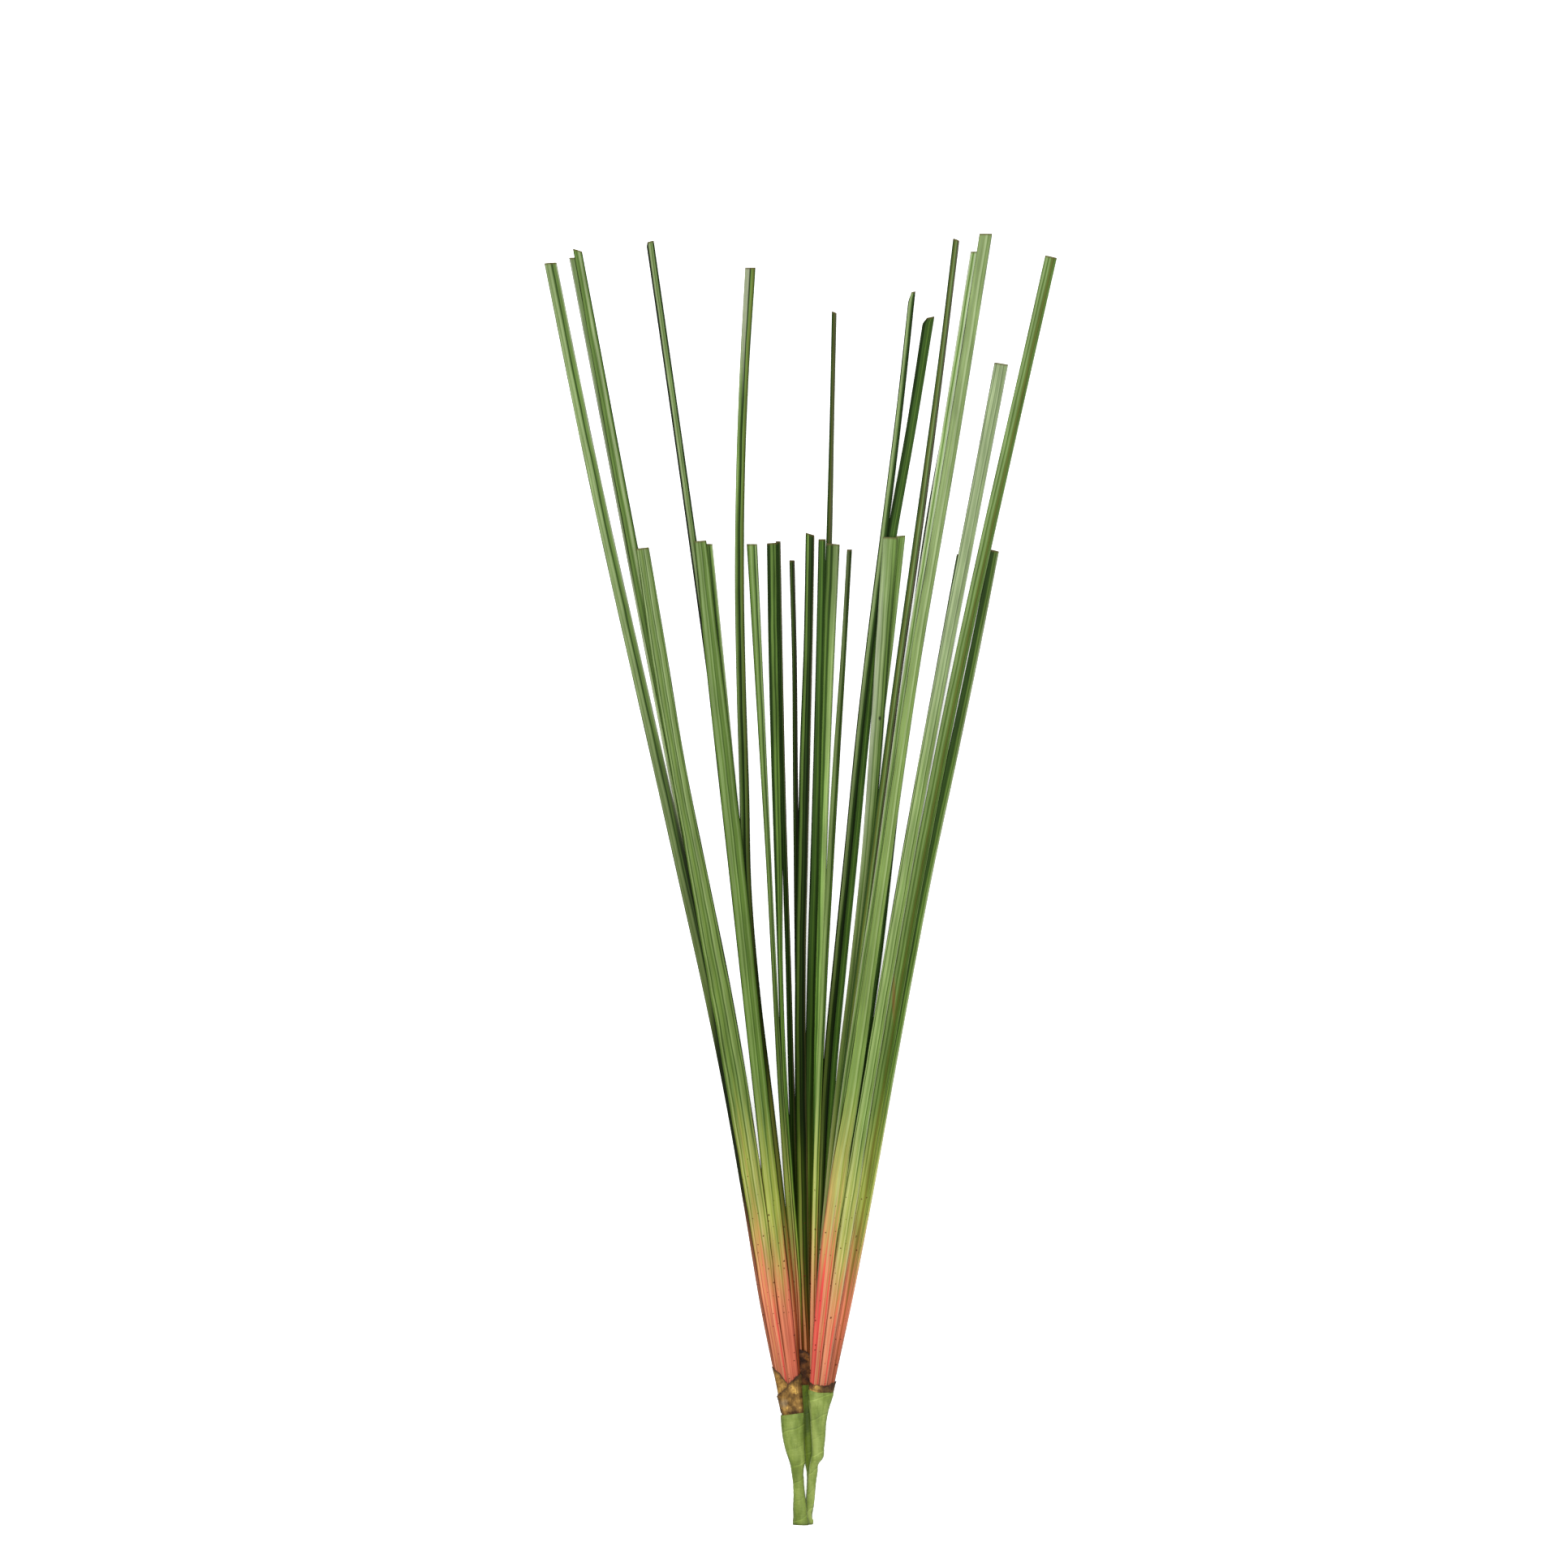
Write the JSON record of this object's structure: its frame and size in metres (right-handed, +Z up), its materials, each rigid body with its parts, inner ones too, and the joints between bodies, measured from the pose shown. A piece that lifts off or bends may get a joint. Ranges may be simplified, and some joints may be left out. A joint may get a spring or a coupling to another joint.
{
  "type": "bunch of cattail leaves",
  "caption": "Loose fan of long cut strap leaves from shoots with papery brown sheaths, their stem ends wrapped in green florist's tape, lying flat.",
  "frame": {"origin": "middle of the bunch's own box, on the table that it lies on", "axes": "+Y from the taped stem ends towards the leaf tips, +X to the right as seen from above, +Z up from the table"},
  "size_m": [0.2782, 0.6996, 0.0157],
  "materials": {
    "light_leaf": "living leaf, satin, finely ribbed along its length",
    "mid_leaf": "living leaf, satin, finely ribbed along its length",
    "dark_leaf": "living leaf in shade, satin, finely ribbed along its length",
    "dry_sheath": "dry papery plant skin, matt, crackled",
    "stem_tape": "waxed crepe paper tape, matt"
  },
  "bodies": {
    "root": {"left_leaf_1": "mid_leaf", "left_leaf_2": "mid_leaf", "left_leaf_3": "mid_leaf", "left_leaf_4": "mid_leaf", "left_leaf_5": "dark_leaf", "left_leaf_6": "light_leaf", "left_leaf_7": "light_leaf", "left_leaf_8": "light_leaf", "left_inner_sheath": "dry_sheath", "left_outer_sheath": "dry_sheath", "left_taped_stem": "stem_tape", "middle_leaf_1": "dark_leaf", "middle_leaf_2": "mid_leaf", "middle_leaf_3": "dark_leaf", "middle_leaf_4": "dark_leaf", "middle_leaf_5": "dark_leaf", "middle_leaf_6": "dark_leaf", "middle_leaf_7": "dark_leaf", "middle_leaf_8": "mid_leaf", "middle_sheath": "dry_sheath", "middle_taped_stem": "stem_tape", "right_leaf_1": "dark_leaf", "right_leaf_2": "mid_leaf", "right_leaf_3": "dark_leaf", "right_leaf_4": "dark_leaf", "right_leaf_5": "dark_leaf", "right_leaf_6": "light_leaf", "right_leaf_7": "light_leaf", "right_leaf_8": "mid_leaf", "right_leaf_9": "mid_leaf", "right_leaf_10": "light_leaf", "right_leaf_11": "mid_leaf", "right_leaf_12": "light_leaf", "right_leaf_13": "light_leaf", "right_sheath": "dry_sheath", "right_taped_stem": "stem_tape"}
  },
  "joints": []
}
